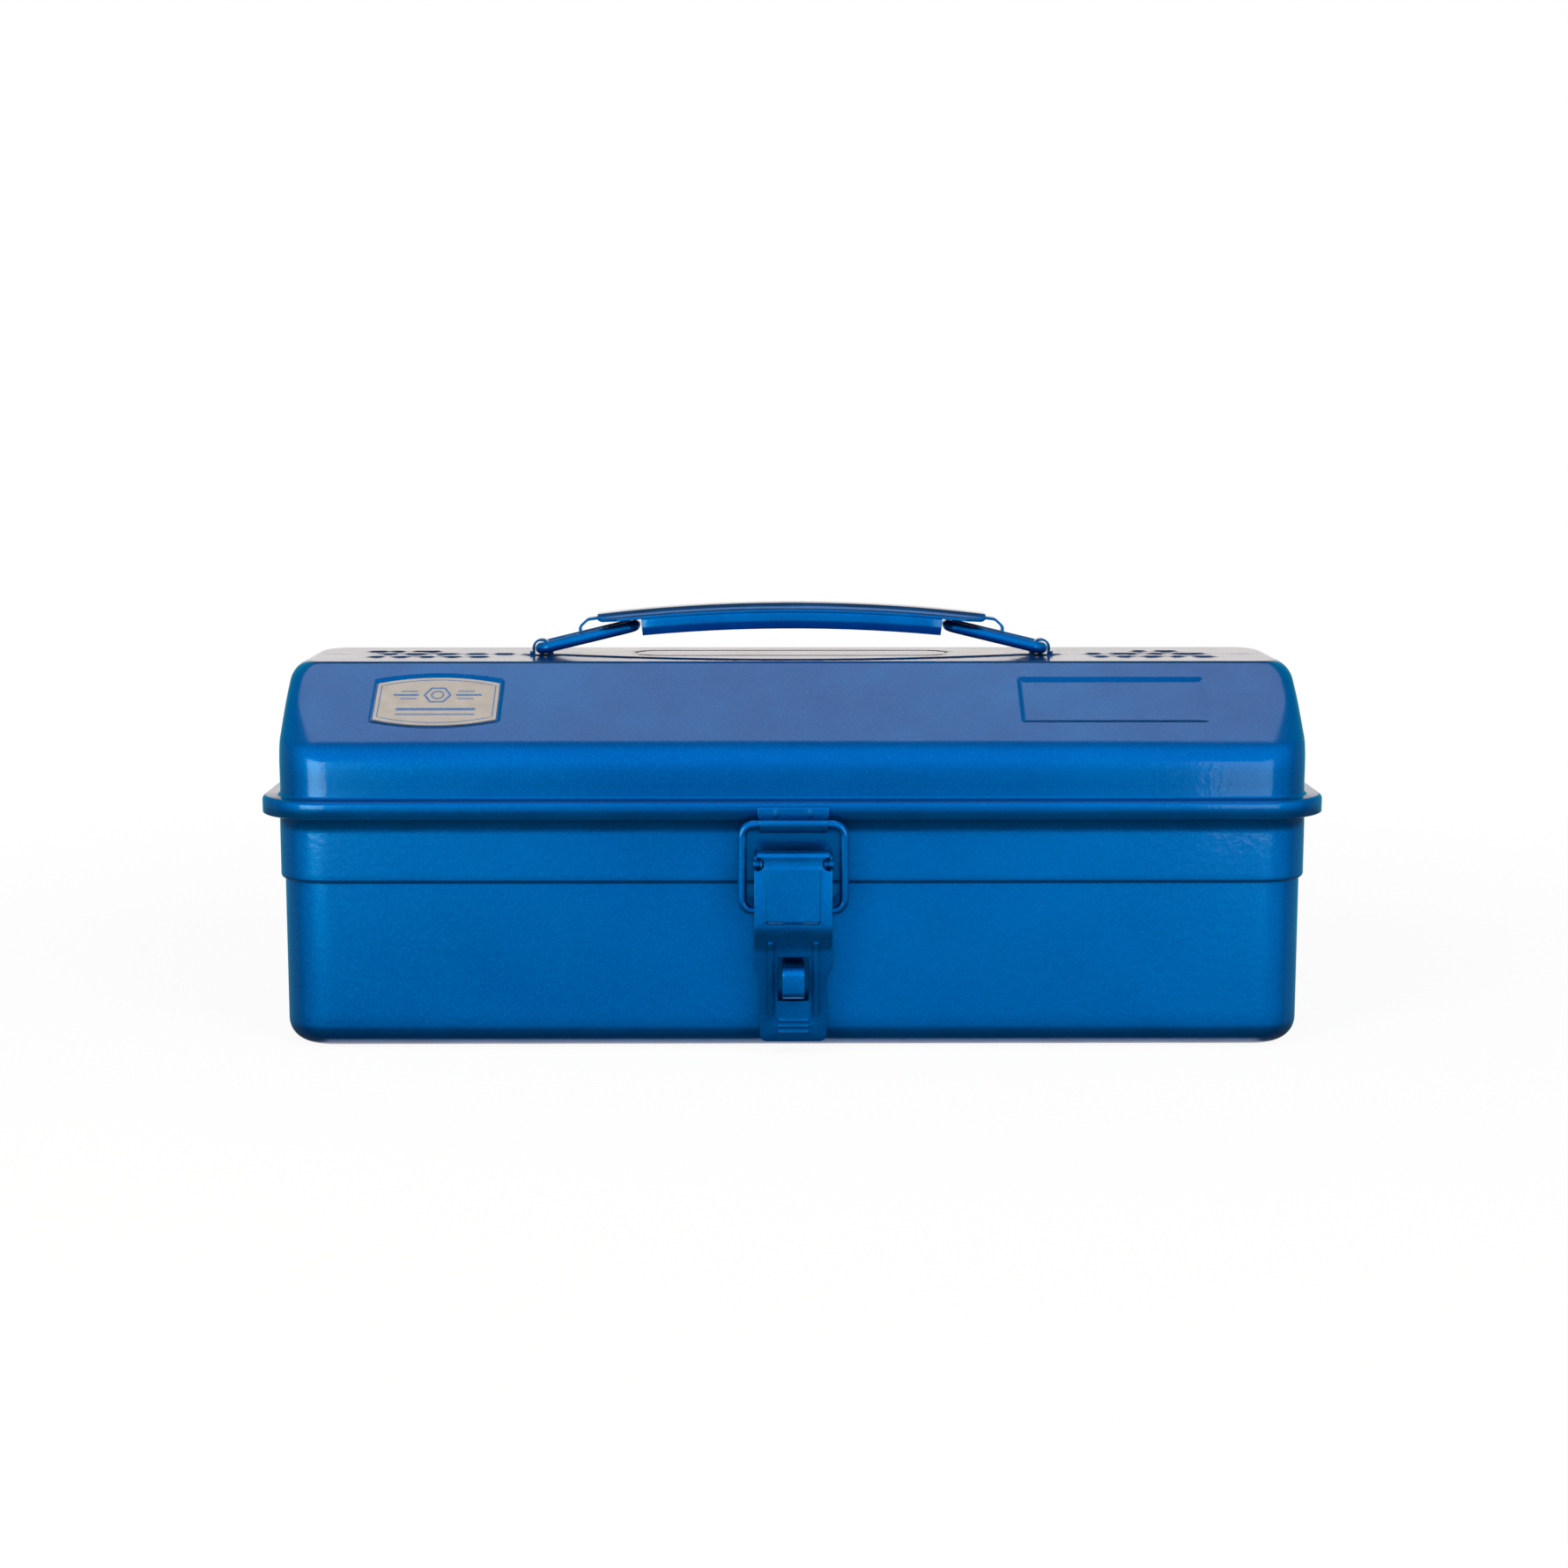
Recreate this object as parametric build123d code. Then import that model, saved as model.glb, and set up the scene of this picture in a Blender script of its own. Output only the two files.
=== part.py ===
"""Small steel tool box: case, hinged lid, lift handle, draw latch and lift-out tray.

Millimetres. Origin at the centre of the flat bottom, X along the length, front at -Y, Z up.
"""
from build123d import *
import math
import os

# --- sheet and overall sizes -------------------------------------------------------------
SHEET = 0.8
CASE_L, CASE_D, CASE_R = 348.2, 138.8, 17.0        # upper band of the case, outside
STEP_IN = 1.2                                      # the lower case is this much smaller per side
STEP_LOW, STEP_HIGH = 56.4, 59.0
CASE_TOP = 84.5
BOTTOM_R = 8.0
RIM_OUT, RIM_H, HEM_R = 3.4, 3.8, 1.7              # outward hem around the case mouth

FLANGE_L, FLANGE_D, FLANGE_R = 359.5, 150.0, 22.5
FLANGE_TOP, SKIRT_LOW = 85.5, 79.5
LID_TOP = 127.6
SHOULDER_Z = 101.5                                 # where the lid wall meets the slope
TOP_HALF = 27.4                                    # half depth of the flat top
LID_L = 347.5
FLANGE_EDGE_R = 1.5
SHOULDER_R, TOP_R, END_R = 11.0, 6.0, 6.0
PLATEAU_X, PLATEAU_Y, PLATEAU_H = 92.0, 23.0, 0.4

SLOPE = math.atan2(LID_TOP - SHOULDER_Z, CASE_D / 2 - TOP_HALF)
PANEL_X, PANEL_Z, PANEL_W, PANEL_H = 109.3, 116.3, 63.7, 24.0
PANEL_R = 2.0
LABEL_X, LABEL_Z, LABEL_W, LABEL_H = -121.2, 116.1, 41.6, 26.0
LABEL_WAIST, LABEL_T = 19.6, 0.3
RECESS, RECESS_EDGE = 0.5, 1.0

# --- back hinges -------------------------------------------------------------------------
HINGE_Y, HINGE_Z, HINGE_X = 77.4, 76.5, 110.0
HINGE_PIN_R, HINGE_GAP, HINGE_SHEET = 1.5, 0.05, 0.8
KNUCKLE, KNUCKLE_GAP = 12.0, 0.3
HINGE_LOW = 61.0
PIN_HEAD, PIN_HEAD_GAP = 1.0, 0.2
BARREL_R = HINGE_PIN_R + HINGE_GAP + HINGE_SHEET   # outside radius of the rolled knuckles
LEAF_W = 5 * KNUCKLE - KNUCKLE_GAP

# --- latch -------------------------------------------------------------------------------
PIN_Y, PIN_Z, PIN_R, PIN_HALF = -77.85, 65.0, 1.7, 13.3
FIT = 0.05                                         # radial clearance of the turning fits
THROUGH = 20.0                                     # half length of a bore that goes right through
LEVER_T, LEVER_FACE, LEVER_TOP = 0.9, -82.4, 69.8
LEVER_HALF, EAR_HALF, TAB_HALF = 12.9, 13.2, 11.1
EAR_TOP, EAR_WIDE_HIGH, EAR_WIDE_LOW, EAR_END = 37.0, 34.5, 30.7, 26.2
TAB_LOW, TAB_CORNER_R = 4.5, 2.4
TAB_Y = -75.8                                      # middle of the sheet at the end of the tab
ROLL_Y, ROLL_R = -80.0, 1.4                        # rolled top edge of the lever
KNEE_HIGH, KNEE_Z, KNEE_R = 47.0, 43.2, 9.0        # where the face turns in towards the tab
NECK_Y, NECK_Z = -79.0, 37.0
CHEEK = [(-81.9, 60.9), (-79.0, 62.2), (-79.0, 67.9), (-75.4, 67.9), (-74.2, 66.5), (-74.2, 45.5),
         (-75.4, 38.5), (-75.4, 29.9), (-77.6, 29.1), (-78.6, 36.5), (-81.9, 43.6)]
FIELD_W, FIELD_H, FIELD_Z, FIELD_R, FIELD_RISE = 18.4, 19.2, 55.4, 1.2, 0.55
RIB_X, RIB_T, RIB_W, RIB_BEND = 7.6, 2.2, 1.6, 4.0
RIB = [(-80.3, 39.4), (-79.3, 36.6), (-77.2, 14.2)]
RIDGE_Z, RIDGE_HALF, RIDGE_R = (7.9, 9.9, 11.9), 5.0, 0.45
CORNER_X, CORNER_Z, CORNER_R = 12.0, 65.8, 2.35    # round cut-outs that show the pin ends
BASE_LOW, BASE_HIGH, BASE_HALF, BASE_T, EYE_R = 61.6, 68.4, 10.9, 0.9, 3.2
BASE_EAR_RISE = 1.5
BAIL_R, BAIL_X, BAIL_BEND = 1.5, 17.0, 4.0
BAIL_TOP = (-78.05, 78.4)
BAIL_LOW = (-77.0, 49.2)
HOOK_Y, HOOK_Z, HOOK_IN, HOOK_T = -78.35, 79.1, 2.5, 0.85
HOOK_HALF, HOOK_LIP, HOOK_BACK = 11.3, 80.1, 83.0
CLIP_HALF, CLIP_LOW, CLIP_HIGH = 11.85, 79.9, 83.8
PRESS_X, PRESS_W, PRESS_RISE = 5.7, 1.1, 0.25      # two upright press marks on the hook plate
SLOT_HALF, SLOT_LOW, SLOT_HIGH = 5.2, 18.6, 33.9
STAPLE_HALF, STAPLE_T, STAPLE_OUT = 3.7, 1.2, -84.4
STAPLE_LOW, STAPLE_HIGH, STAPLE_BEND, STAPLE_FOOT = 20.9, 30.3, 2.0, 5.5

# --- handle ------------------------------------------------------------------------------
WIRE_R, LEG_Y, WIRE_BEND = 2.0, 6.0, 3.2
LINK_OUT = (89.0, 130.05)
LINK_IN = (55.8, 138.1)
GRIP_TOP, GRIP_CAMBER, GRIP_T, GRIP_BEND = 146.3, 577.0, 0.9, 1.2
CROWN_Y, CROWN_Z = (4.0, 7.6, 8.8), 144.95         # half depths of the arched middle band
SHOULDER_Y, GRIP_SHOULDER = 13.6, 144.1
SKIRT = [(13.6, 140.6), (12.5, 138.0)]              # the lower edge turns in a little
GRIP_SKIRT_X, GRIP_END_X = 53.2, 68.8
GRIP_CORNER = [(60.0, 15.2), (72.0, 15.2), (72.0, 4.4)]   # corner cut off each end of the roof
TONGUE_W = 7.2
TONGUE = [(57.0, 142.5), (66.0, 141.1), (72.4, 140.2), (75.4, 137.4), (74.4, 134.0), (69.0, 133.4)]
TONGUE_BEND = 2.0
BRACKET_T, BRACKET_W, BRACKET_FIT, BRACKET_FOOT = 0.8, 5.2, 0.4, 0.9

# --- lift-out tray -----------------------------------------------------------------------
TRAY_L, TRAY_D, TRAY_R = 345.4, 136.4, 16.0        # outside of the tray rim
TRAY_Z, TRAY_DEPTH, TRAY_INSET = 59.2, 26.0, 4.0
TRAY_SHEET, TRAY_BOTTOM_R = 0.8, 4.0
TRAY_LOOP_R, TRAY_LOOP_HALF, TRAY_LOOP_BEND = 1.5, 22.0, 6.0
TRAY_LOOP_LOW, TRAY_LOOP_TOP = 48.0, 74.0

SIDES = {"left": -1, "right": 1}


def rounded_prism(length, depth, radius, low, high):
    """Upright block with rounded plan corners between two heights."""
    return extrude(Pos(0, 0, low) * RectangleRounded(length, depth, radius), amount=high - low)


def sheet_strip(plane, points, bend, thickness, width):
    """Bent sheet of constant thickness whose middle line runs through the points."""
    section = trace(FilletPolyline(*points, radius=bend), line_width=thickness)
    return extrude(plane * section, amount=width / 2, both=True)


def bar_x(y, z, radius, low, high):
    """Round bar along X."""
    return Pos((low + high) / 2, y, z) * Rot(0, 90, 0) * Cylinder(radius, high - low)


def wire_loop(corners, bend, radius):
    """Closed loop of round wire through four corners."""
    path = FilletPolyline(*corners, radius=bend, close=True)
    start = Plane(origin=path @ 0, z_dir=path % 0)
    return sweep(start * Circle(radius), path=path)


def slope_plane(x, z):
    """Plane lying on the front slope of the lid at a given place."""
    y = -CASE_D / 2 + (z - SHOULDER_Z) / math.tan(SLOPE)
    return Plane(origin=(x, y, z), x_dir=(1, 0, 0), z_dir=(0, -math.sin(SLOPE), math.cos(SLOPE)))


# --- case --------------------------------------------------------------------------------
def case_block(inset, floor):
    """Solid inside the case surface moved in by inset, from the floor up."""
    low_l = CASE_L - 2 * (STEP_IN + inset)
    low_d = CASE_D - 2 * (STEP_IN + inset)
    lower = rounded_prism(low_l, low_d, CASE_R - inset, floor, STEP_LOW)
    lower = fillet(lower.edges().group_by(Axis.Z)[0], BOTTOM_R - inset)
    low_face = Pos(0, 0, STEP_LOW) * RectangleRounded(low_l, low_d, CASE_R - inset)
    high_face = Pos(0, 0, STEP_HIGH) * RectangleRounded(
        CASE_L - 2 * inset, CASE_D - 2 * inset, CASE_R - inset)
    step = loft([low_face, high_face])
    upper = rounded_prism(CASE_L - 2 * inset, CASE_D - 2 * inset, CASE_R - inset, STEP_HIGH, CASE_TOP)
    return lower + step + upper


def case_shell():
    hem = rounded_prism(CASE_L + 2 * RIM_OUT, CASE_D + 2 * RIM_OUT, CASE_R + RIM_OUT,
                        CASE_TOP - RIM_H, CASE_TOP)
    hem = fillet(hem.edges().group_by(Axis.Z)[0] + hem.edges().group_by(Axis.Z)[-1], HEM_R)
    return case_block(0, 0) + hem - case_block(SHEET, SHEET)


# --- lid ---------------------------------------------------------------------------------
def lid_profile(inset, low):
    """End view of the domed lid, moved in by inset."""
    wall = CASE_D / 2 - inset
    top = LID_TOP - inset
    slack = inset * math.tan((math.pi / 2 - SLOPE) / 2)
    shoulder = SHOULDER_Z - slack
    ridge = TOP_HALF - inset * math.tan(SLOPE / 2)
    outline = Polyline((-wall, low), (-wall, shoulder), (-ridge, top), (ridge, top),
                       (wall, shoulder), (wall, low), close=True)
    face = make_face(outline)
    corners = face.vertices().group_by(Axis.Y)
    face = fillet(corners[1], SHOULDER_R - inset)
    return fillet(face.vertices().group_by(Axis.Y)[-1], TOP_R - inset)


def eased_slab(place, inset):
    """Deep block under a plane, its two end edges rounded along the plane's Y direction."""
    reach = 4 * LID_TOP
    slab = Pos(0, 0, -reach / 2) * Box(LID_L - 2 * inset, reach, reach)
    top = slab.edges().filter_by(Axis.Y).group_by(Axis.Z)[-1]
    return place.offset(-inset) * fillet(top, END_R - inset)


def lid_block(inset, low):
    """Solid inside the lid surface moved in by inset."""
    block = extrude(Plane.YZ * lid_profile(inset, low), amount=CASE_L / 2, both=True)
    block &= rounded_prism(LID_L - 2 * inset, CASE_D - 2 * inset, CASE_R - inset, low, LID_TOP)
    front = slope_plane(0, SHOULDER_Z)
    rise = front.z_dir
    back = Plane(origin=(0, -front.origin.Y, front.origin.Z), x_dir=(1, 0, 0),
                 z_dir=(0, -rise.Y, rise.Z))
    for place in (Plane.XY.offset(LID_TOP), front, back):
        block &= eased_slab(place, inset)
    return block


def plateau(grow, low, high):
    """Lens-shaped raised field between the two handle brackets."""
    half_y = PLATEAU_Y + grow
    half_x = PLATEAU_X + grow
    outline = ThreePointArc((-half_x, 0), (0, half_y), (half_x, 0)) + ThreePointArc(
        (half_x, 0), (0, -half_y), (-half_x, 0))
    return extrude(Pos(0, 0, low) * make_face(outline), amount=high - low)


def slope_pocket(outline, place, depth, sheet):
    """Shallow pocket pressed into the front slope: what to cut, and the sheet behind it."""
    cut = extrude(place * outline, amount=depth, dir=-place.z_dir)
    cut += extrude(place * outline, amount=SHEET)
    behind = place * offset(outline, RECESS_EDGE)
    back = extrude(behind, amount=depth + sheet, dir=-place.z_dir)
    return cut, back


def label_outline(grow):
    """Barrel outline: straight ends, arched long sides."""
    half = LABEL_W / 2 + grow
    waist = LABEL_WAIST / 2 + grow
    high = LABEL_H / 2 + grow
    edges = [Line((-half, -waist), (-half, waist)),
             ThreePointArc((-half, waist), (0, high), (half, waist)),
             Line((half, waist), (half, -waist)),
             ThreePointArc((half, -waist), (0, -high), (-half, -waist))]
    return make_face(Curve() + edges)


def lid_flange():
    outer = rounded_prism(FLANGE_L, FLANGE_D, FLANGE_R, SKIRT_LOW, FLANGE_TOP)
    outer = fillet(outer.edges().group_by(Axis.Z)[-1], FLANGE_EDGE_R)
    inner = rounded_prism(FLANGE_L - 2 * SHEET, FLANGE_D - 2 * SHEET, FLANGE_R - SHEET,
                          SKIRT_LOW, FLANGE_TOP - SHEET)
    return outer - inner


def lid_shell():
    panel = slope_pocket(RectangleRounded(PANEL_W, PANEL_H, PANEL_R),
                         slope_plane(PANEL_X, PANEL_Z), RECESS, SHEET)
    label = slope_pocket(label_outline(RECESS_EDGE), slope_plane(LABEL_X, LABEL_Z), RECESS, SHEET)
    outer = lid_block(0, FLANGE_TOP - SHEET)
    shell = lid_flange() + outer + plateau(0, LID_TOP - SHEET, LID_TOP + PLATEAU_H)
    hollow = lid_block(SHEET, SKIRT_LOW)
    hollow += plateau(-SHEET, LID_TOP - 2 * SHEET, LID_TOP + PLATEAU_H - SHEET)
    for cut, back in (panel, label):
        shell -= cut
        hollow -= back
    return shell - hollow


def name_plate():
    place = slope_plane(LABEL_X, LABEL_Z)
    floor = place.offset(-RECESS)
    return extrude(floor * label_outline(0), amount=LABEL_T)


# --- back hinges -------------------------------------------------------------------------
def knuckles(x, indices):
    """Rolled knuckles of one leaf; five positions share the pin."""
    parts = []
    for index in indices:
        middle = x + (index - 2) * KNUCKLE
        half = (KNUCKLE - KNUCKLE_GAP) / 2
        parts.append(bar_x(HINGE_Y, HINGE_Z, BARREL_R, middle - half, middle + half))
    return parts


def hinge_bore(x):
    half = 3 * KNUCKLE
    return bar_x(HINGE_Y, HINGE_Z, HINGE_PIN_R + HINGE_GAP, x - half, x + half)


def hinge_leaf_case(x):
    """Leaf on the back wall of the case, with a shelf out to the three outer-row knuckles."""
    wall = CASE_D / 2
    shelf_z = HINGE_Z - BARREL_R
    height = shelf_z + HINGE_SHEET - HINGE_LOW
    leaf = Pos(x, wall + HINGE_SHEET / 2, HINGE_LOW + height / 2) * Box(LEAF_W, HINGE_SHEET, height)
    for barrel in knuckles(x, (0, 2, 4)):
        middle = barrel.center().X
        leaf += barrel
        leaf += Pos(middle, (wall + HINGE_Y) / 2, shelf_z + HINGE_SHEET / 2) * Box(
            KNUCKLE - KNUCKLE_GAP, HINGE_Y - wall, HINGE_SHEET)
    return leaf - hinge_bore(x)


def hinge_leaf_lid(x):
    """Leaf on the back of the lid skirt, running down into the two inner knuckles."""
    face = HINGE_Y - BARREL_R
    rise = FLANGE_TOP - SKIRT_LOW - FLANGE_EDGE_R
    leaf = Pos(x, face + HINGE_SHEET / 2, SKIRT_LOW + rise / 2) * Box(LEAF_W, HINGE_SHEET, rise)
    for barrel in knuckles(x, (1, 3)):
        middle = barrel.center().X
        leaf += barrel
        leaf += Pos(middle, face + HINGE_SHEET / 2, (HINGE_Z + SKIRT_LOW) / 2) * Box(
            KNUCKLE - KNUCKLE_GAP, HINGE_SHEET, SKIRT_LOW - HINGE_Z)
    return leaf - hinge_bore(x)


def hinge_pin(x):
    half = 2.5 * KNUCKLE
    reach = half + PIN_HEAD_GAP + PIN_HEAD
    pin = bar_x(HINGE_Y, HINGE_Z, HINGE_PIN_R, x - reach, x + reach)
    head_r = HINGE_PIN_R + HINGE_SHEET
    for side in SIDES.values():
        near = x + side * (half + PIN_HEAD_GAP)
        far = near + side * PIN_HEAD
        pin += bar_x(HINGE_Y, HINGE_Z, head_r, min(near, far), max(near, far))
    return pin


# --- latch -------------------------------------------------------------------------------
def latch_base():
    """Pressed bracket on the case front that carries the lever pin."""
    wall = -CASE_D / 2
    plate_h = BASE_HIGH - BASE_LOW
    base = Pos(0, wall - BASE_T / 2, BASE_LOW + plate_h / 2) * Box(2 * BASE_HALF, BASE_T, plate_h)
    ear = make_face(Polyline((wall - BASE_T, PIN_Z + BASE_EAR_RISE), (wall - BASE_T, BASE_LOW),
                             (PIN_Y, PIN_Z - EYE_R), (PIN_Y, PIN_Z + EYE_R), close=True))
    ear += Pos(PIN_Y, PIN_Z) * Circle(EYE_R)
    for side in SIDES.values():
        edge = side * (BASE_HALF - BASE_T)
        base += extrude(Plane.YZ.offset(edge) * ear, amount=side * BASE_T)
    return base - bar_x(PIN_Y, PIN_Z, PIN_R + FIT, -PIN_HALF, PIN_HALF)


def latch_pin():
    return bar_x(PIN_Y, PIN_Z, PIN_R, -PIN_HALF, PIN_HALF)


def lever_outline():
    """Front view of the lever: wide face, flared ears, narrow finger tab."""
    right = [(LEVER_HALF, LEVER_TOP + LEVER_T), (LEVER_HALF, EAR_TOP), (EAR_HALF, EAR_WIDE_HIGH),
             (EAR_HALF, EAR_WIDE_LOW), (TAB_HALF, EAR_END), (TAB_HALF, TAB_LOW)]
    left = [(-x, z) for x, z in reversed(right)]
    face = make_face(Polyline(*right, *left, close=True))
    return fillet(face.vertices().group_by(Axis.Y)[0], TAB_CORNER_R)


def lever_sheet():
    """Rolled top edge, flat face, and the knee that runs down into the tab."""
    middle = LEVER_FACE + LEVER_T / 2
    top = LEVER_TOP - LEVER_T / 2
    face = [(ROLL_Y, top), (middle, top), (middle, KNEE_HIGH - LEVER_T)]
    knee = [(middle, KNEE_HIGH), (middle, KNEE_Z), (NECK_Y, NECK_Z), (TAB_Y, TAB_LOW)]
    width = 2 * EAR_HALF
    sheet = sheet_strip(Plane.YZ, face, ROLL_R, LEVER_T, width)
    sheet += sheet_strip(Plane.YZ, knee, KNEE_R, LEVER_T, width)
    return sheet & extrude(Plane.XZ * lever_outline(), amount=-2 * LEVER_FACE)


def lever_cheeks():
    """Folded side walls that hold the pin and the bail."""
    side_view = make_face(Polyline(*CHEEK, close=True))
    cheeks = []
    for side in SIDES.values():
        inner = side * (LEVER_HALF - LEVER_T)
        cheeks.append(extrude(Plane.YZ.offset(inner) * side_view, amount=side * LEVER_T))
    return cheeks


def lever_relief():
    """Raised square field, two stiffening ribs and three finger ridges."""
    field = extrude(RectangleRounded(FIELD_W, FIELD_H, FIELD_R), amount=FIELD_RISE, taper=45)
    parts = [Pos(0, LEVER_FACE, FIELD_Z) * Rot(90, 0, 0) * field]
    rib = sheet_strip(Plane.YZ, RIB, RIB_BEND, RIB_T, RIB_W)
    for side in SIDES.values():
        parts.append(Pos(side * RIB_X, 0, 0) * rib)
    lean = (TAB_Y - NECK_Y) / (NECK_Z - TAB_LOW)
    for z in RIDGE_Z:
        y = TAB_Y - LEVER_T / 2 - (z - TAB_LOW) * lean
        parts.append(bar_x(y, z, RIDGE_R, -RIDGE_HALF, RIDGE_HALF))
    return parts


def corner_cutout(side):
    """Round hole in a top corner of the lever, open at the edge, with the pin end behind it."""
    beyond = 2 * CORNER_R
    hole = Circle(CORNER_R) + Pos(side * beyond / 2, CORNER_R) * Rectangle(beyond, 2 * CORNER_R)
    place = Plane.XZ.offset(-ROLL_Y) * Pos(side * CORNER_X, CORNER_Z)
    return extrude(place * hole, amount=2 * CORNER_R) + extrude(place * hole, amount=-CORNER_R / 2)


def latch_lever():
    lever = lever_sheet()
    for piece in lever_cheeks() + lever_relief():
        lever += piece
    for side in SIDES.values():
        lever -= corner_cutout(side)
    slot_h = SLOT_HIGH - SLOT_LOW
    lever -= Pos(0, PIN_Y, SLOT_LOW + slot_h / 2) * Box(2 * SLOT_HALF, LEVER_HALF, slot_h)
    lever -= bar_x(PIN_Y, PIN_Z, PIN_R + FIT, -THROUGH, THROUGH)
    return lever - bar_x(*BAIL_LOW, BAIL_R + FIT, -THROUGH, THROUGH)


def latch_bail():
    (top_y, top_z), (low_y, low_z) = BAIL_TOP, BAIL_LOW
    corners = [(-BAIL_X, low_y, low_z), (BAIL_X, low_y, low_z),
               (BAIL_X, top_y, top_z), (-BAIL_X, top_y, top_z)]
    return wire_loop(corners, BAIL_BEND, BAIL_R)


def strike_clip():
    """Hook plate on the lid skirt that the bail pulls down on."""
    middle = HOOK_IN + HOOK_T / 2
    back = HOOK_Y + middle
    front = HOOK_Y - middle
    low = HOOK_Z - middle
    path = [(back, HOOK_BACK), (back, low), (front, low), (front, HOOK_LIP)]
    hook = sheet_strip(Plane.YZ, path, middle - FIT, HOOK_T, 2 * HOOK_HALF)
    pad_h = CLIP_HIGH - CLIP_LOW
    hook += Pos(0, back, CLIP_LOW + pad_h / 2) * Box(2 * CLIP_HALF, HOOK_T, pad_h)
    mark_y = back - HOOK_T / 2 - PRESS_RISE / 2
    for side in SIDES.values():
        mark = Box(PRESS_W, PRESS_RISE, pad_h - PRESS_W)
        hook += Pos(side * PRESS_X, mark_y, CLIP_LOW + pad_h / 2) * mark
    return hook


def padlock_staple():
    """Strap eye on the case front that comes through the lever slot."""
    wall = -CASE_D / 2 + STEP_IN
    foot = wall - STAPLE_T / 2
    nose = STAPLE_OUT + STAPLE_T / 2
    path = [(foot, STAPLE_LOW - STAPLE_FOOT), (foot, STAPLE_LOW), (nose, STAPLE_LOW),
            (nose, STAPLE_HIGH), (foot, STAPLE_HIGH), (foot, STAPLE_HIGH + STAPLE_FOOT)]
    return sheet_strip(Plane.YZ, path, STAPLE_BEND, STAPLE_T, 2 * STAPLE_HALF)


# --- handle ------------------------------------------------------------------------------
def turned(section, half_x):
    """Sweep a cross-section along the camber of the grip, to plus and minus half_x."""
    centre = GRIP_TOP - GRIP_CAMBER
    axis = Axis((0, 0, centre), (0, 1, 0))
    angle = math.degrees(math.asin(half_x / GRIP_CAMBER))
    start = (Plane.YZ * section).rotate(axis, -angle)
    return revolve(start, axis=axis, revolution_arc=2 * angle)


def grip_section(with_skirts):
    """Bent sheet seen from the end: raised middle band, flat shoulders, and the hanging skirts."""
    half = GRIP_T / 2
    crest, flank, foot = CROWN_Y
    right = [(crest, GRIP_TOP - half), (flank, CROWN_Z), (foot, GRIP_SHOULDER)]
    if with_skirts:
        right += [(SHOULDER_Y, GRIP_SHOULDER)] + SKIRT
    else:
        right += [(SHOULDER_Y + half, GRIP_SHOULDER)]
    left = [(-y, z) for y, z in reversed(right)]
    return trace(FilletPolyline(*left, *right, radius=GRIP_BEND), line_width=GRIP_T)


def handle_grip():
    roof = turned(grip_section(False), GRIP_END_X)
    for side in SIDES.values():
        for edge in SIDES.values():
            corner = make_face(Polyline(*[(side * x, edge * y) for x, y in GRIP_CORNER], close=True))
            roof -= extrude(corner, amount=2 * GRIP_TOP)
    grip = roof + turned(grip_section(True), GRIP_SKIRT_X)
    for side in SIDES.values():
        points = [(side * x, z) for x, z in TONGUE]
        grip += sheet_strip(Plane.XZ, points, TONGUE_BEND, GRIP_T, TONGUE_W)
    return grip


def handle_link(side):
    (out_x, out_z), (in_x, in_z) = LINK_OUT, LINK_IN
    corners = [(side * out_x, -LEG_Y, out_z), (side * out_x, LEG_Y, out_z),
               (side * in_x, LEG_Y, in_z), (side * in_x, -LEG_Y, in_z)]
    return wire_loop(corners, WIRE_BEND, WIRE_R)


def handle_bracket(side):
    """Strap eye around the outer bar of a link, with two short feet on the lid top."""
    (out_x, out_z) = LINK_OUT
    inner = WIRE_R + BRACKET_FIT
    outer = inner + BRACKET_T
    top = LID_TOP + PLATEAU_H
    lift = out_z - top
    ring = Circle(outer) + Pos(0, -lift / 2) * Rectangle(2 * outer, lift)
    ring += Pos(0, BRACKET_T / 2 - lift) * Rectangle(2 * outer + 2 * BRACKET_FOOT, BRACKET_T)
    ring -= Circle(inner)
    ring -= Pos(0, -lift) * Rectangle(2 * inner, 2 * lift)
    ring -= Pos(0, -lift - outer) * Rectangle(6 * outer, 2 * outer)
    return extrude(Plane.XZ * Pos(side * out_x, out_z) * ring, amount=BRACKET_W / 2, both=True)


# --- tray --------------------------------------------------------------------------------
def tray_pan():
    pan_l, pan_d = TRAY_L - 2 * TRAY_INSET, TRAY_D - 2 * TRAY_INSET
    low = TRAY_Z - TRAY_DEPTH
    rim = rounded_prism(TRAY_L, TRAY_D, TRAY_R, TRAY_Z - TRAY_SHEET, TRAY_Z)
    pan = rounded_prism(pan_l, pan_d, TRAY_R - TRAY_INSET, low, TRAY_Z)
    pan = fillet(pan.edges().group_by(Axis.Z)[0], TRAY_BOTTOM_R)
    hollow = rounded_prism(pan_l - 2 * TRAY_SHEET, pan_d - 2 * TRAY_SHEET,
                           TRAY_R - TRAY_INSET - TRAY_SHEET, low + TRAY_SHEET, TRAY_Z)
    hollow = fillet(hollow.edges().group_by(Axis.Z)[0], TRAY_BOTTOM_R - TRAY_SHEET)
    return rim + pan - hollow


def tray_loop(side):
    """Wire lifting loop welded inside one end wall of the tray."""
    x = side * (TRAY_L / 2 - TRAY_INSET - TRAY_SHEET - TRAY_LOOP_R)
    points = [(x, -TRAY_LOOP_HALF, TRAY_LOOP_LOW), (x, -TRAY_LOOP_HALF, TRAY_LOOP_TOP),
              (x, TRAY_LOOP_HALF, TRAY_LOOP_TOP), (x, TRAY_LOOP_HALF, TRAY_LOOP_LOW)]
    path = FilletPolyline(*points, radius=TRAY_LOOP_BEND)
    start = Plane(origin=path @ 0, z_dir=path % 0)
    return sweep(start * Circle(TRAY_LOOP_R), path=path)


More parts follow.
